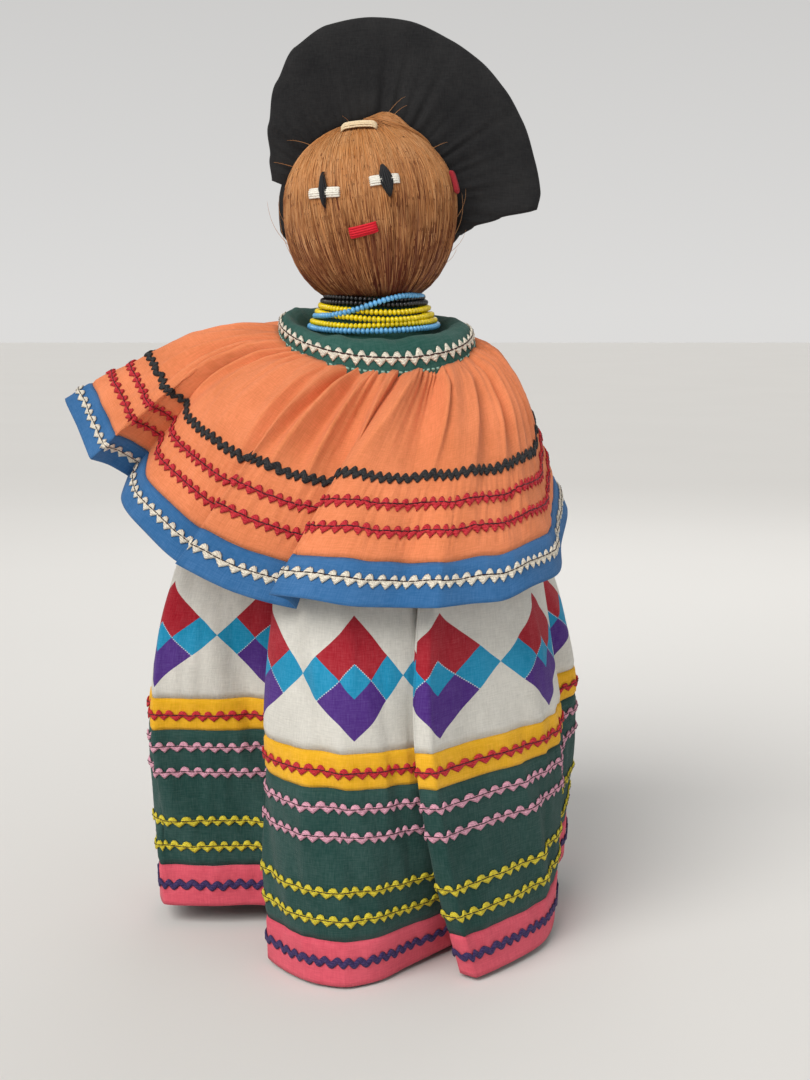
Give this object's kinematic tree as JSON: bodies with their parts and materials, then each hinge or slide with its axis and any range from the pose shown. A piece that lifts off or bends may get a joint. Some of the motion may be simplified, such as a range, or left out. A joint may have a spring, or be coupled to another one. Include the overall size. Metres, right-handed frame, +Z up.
{
  "type": "palmetto doll",
  "caption": "Standing palmetto fibre doll in a gathered patchwork skirt and braided cape, with a beaded neck and a wide black hair board.",
  "frame": {"origin": "centre of the fibre body's flat underside, on the surface it stands on", "axes": "+Z up, the doll faces -Y, +X to the viewer's right"},
  "size_m": [0.1986, 0.1847, 0.3455],
  "materials": {
    "fibre": "combed palmetto husk fibre, reddish brown with darker streaks",
    "fibre_dark": "rough palmetto husk fibre",
    "cream_thread": "wound cotton thread",
    "black_cloth": "plain weave black cotton",
    "white_stitch": "satin stitch",
    "black_stitch": "satin stitch",
    "red_stitch": "satin stitch",
    "red_felt": "felt patch",
    "black_beads": "opaque glass seed beads",
    "yellow_beads": "opaque glass seed beads",
    "blue_beads": "opaque glass seed beads",
    "green_yoke_cloth": "plain weave cotton",
    "orange_cloth": "plain weave cotton",
    "blue_cloth": "plain weave cotton",
    "patchwork_cloth": "white cotton pieced with red, turquoise and purple squares",
    "yellow_cloth": "plain weave cotton",
    "green_skirt_cloth": "plain weave cotton",
    "pink_cloth": "plain weave cotton",
    "white_braid": "ric-rac braid",
    "black_braid": "ric-rac braid",
    "red_braid": "ric-rac braid",
    "pink_braid": "ric-rac braid",
    "yellow_braid": "ric-rac braid",
    "purple_braid": "ric-rac braid"
  },
  "bodies": {
    "root": {"body": "fibre_dark", "head": "fibre", "top_tie": "cream_thread", "hair_board": "black_cloth", "eye_white_left": "white_stitch", "eye_white_right": "white_stitch", "pupil_left": "black_stitch", "pupil_right": "black_stitch", "mouth": "red_stitch", "ear_left": "red_felt", "ear_right": "red_felt", "necklace_black_upper": "black_beads", "necklace_black_lower": "black_beads", "necklace_yellow_upper": "yellow_beads", "necklace_yellow_middle": "yellow_beads", "necklace_yellow_lower": "yellow_beads", "necklace_blue_upper": "blue_beads", "necklace_blue_lower": "blue_beads", "yoke": "green_yoke_cloth", "yoke_ricrac": "white_braid", "cape": "orange_cloth", "cape_hem": "blue_cloth", "cape_black_ricrac": "black_braid", "cape_red_ricrac_upper": "red_braid", "cape_red_ricrac_lower": "red_braid", "cape_white_ricrac": "white_braid", "skirt_patchwork_band": "patchwork_cloth", "skirt_yellow_band": "yellow_cloth", "skirt_green_band": "green_skirt_cloth", "skirt_hem": "pink_cloth", "skirt_red_ricrac": "red_braid", "skirt_pink_ricrac_upper": "pink_braid", "skirt_pink_ricrac_lower": "pink_braid", "skirt_yellow_ricrac_upper": "yellow_braid", "skirt_yellow_ricrac_lower": "yellow_braid", "skirt_purple_ricrac": "purple_braid"}
  },
  "joints": []
}
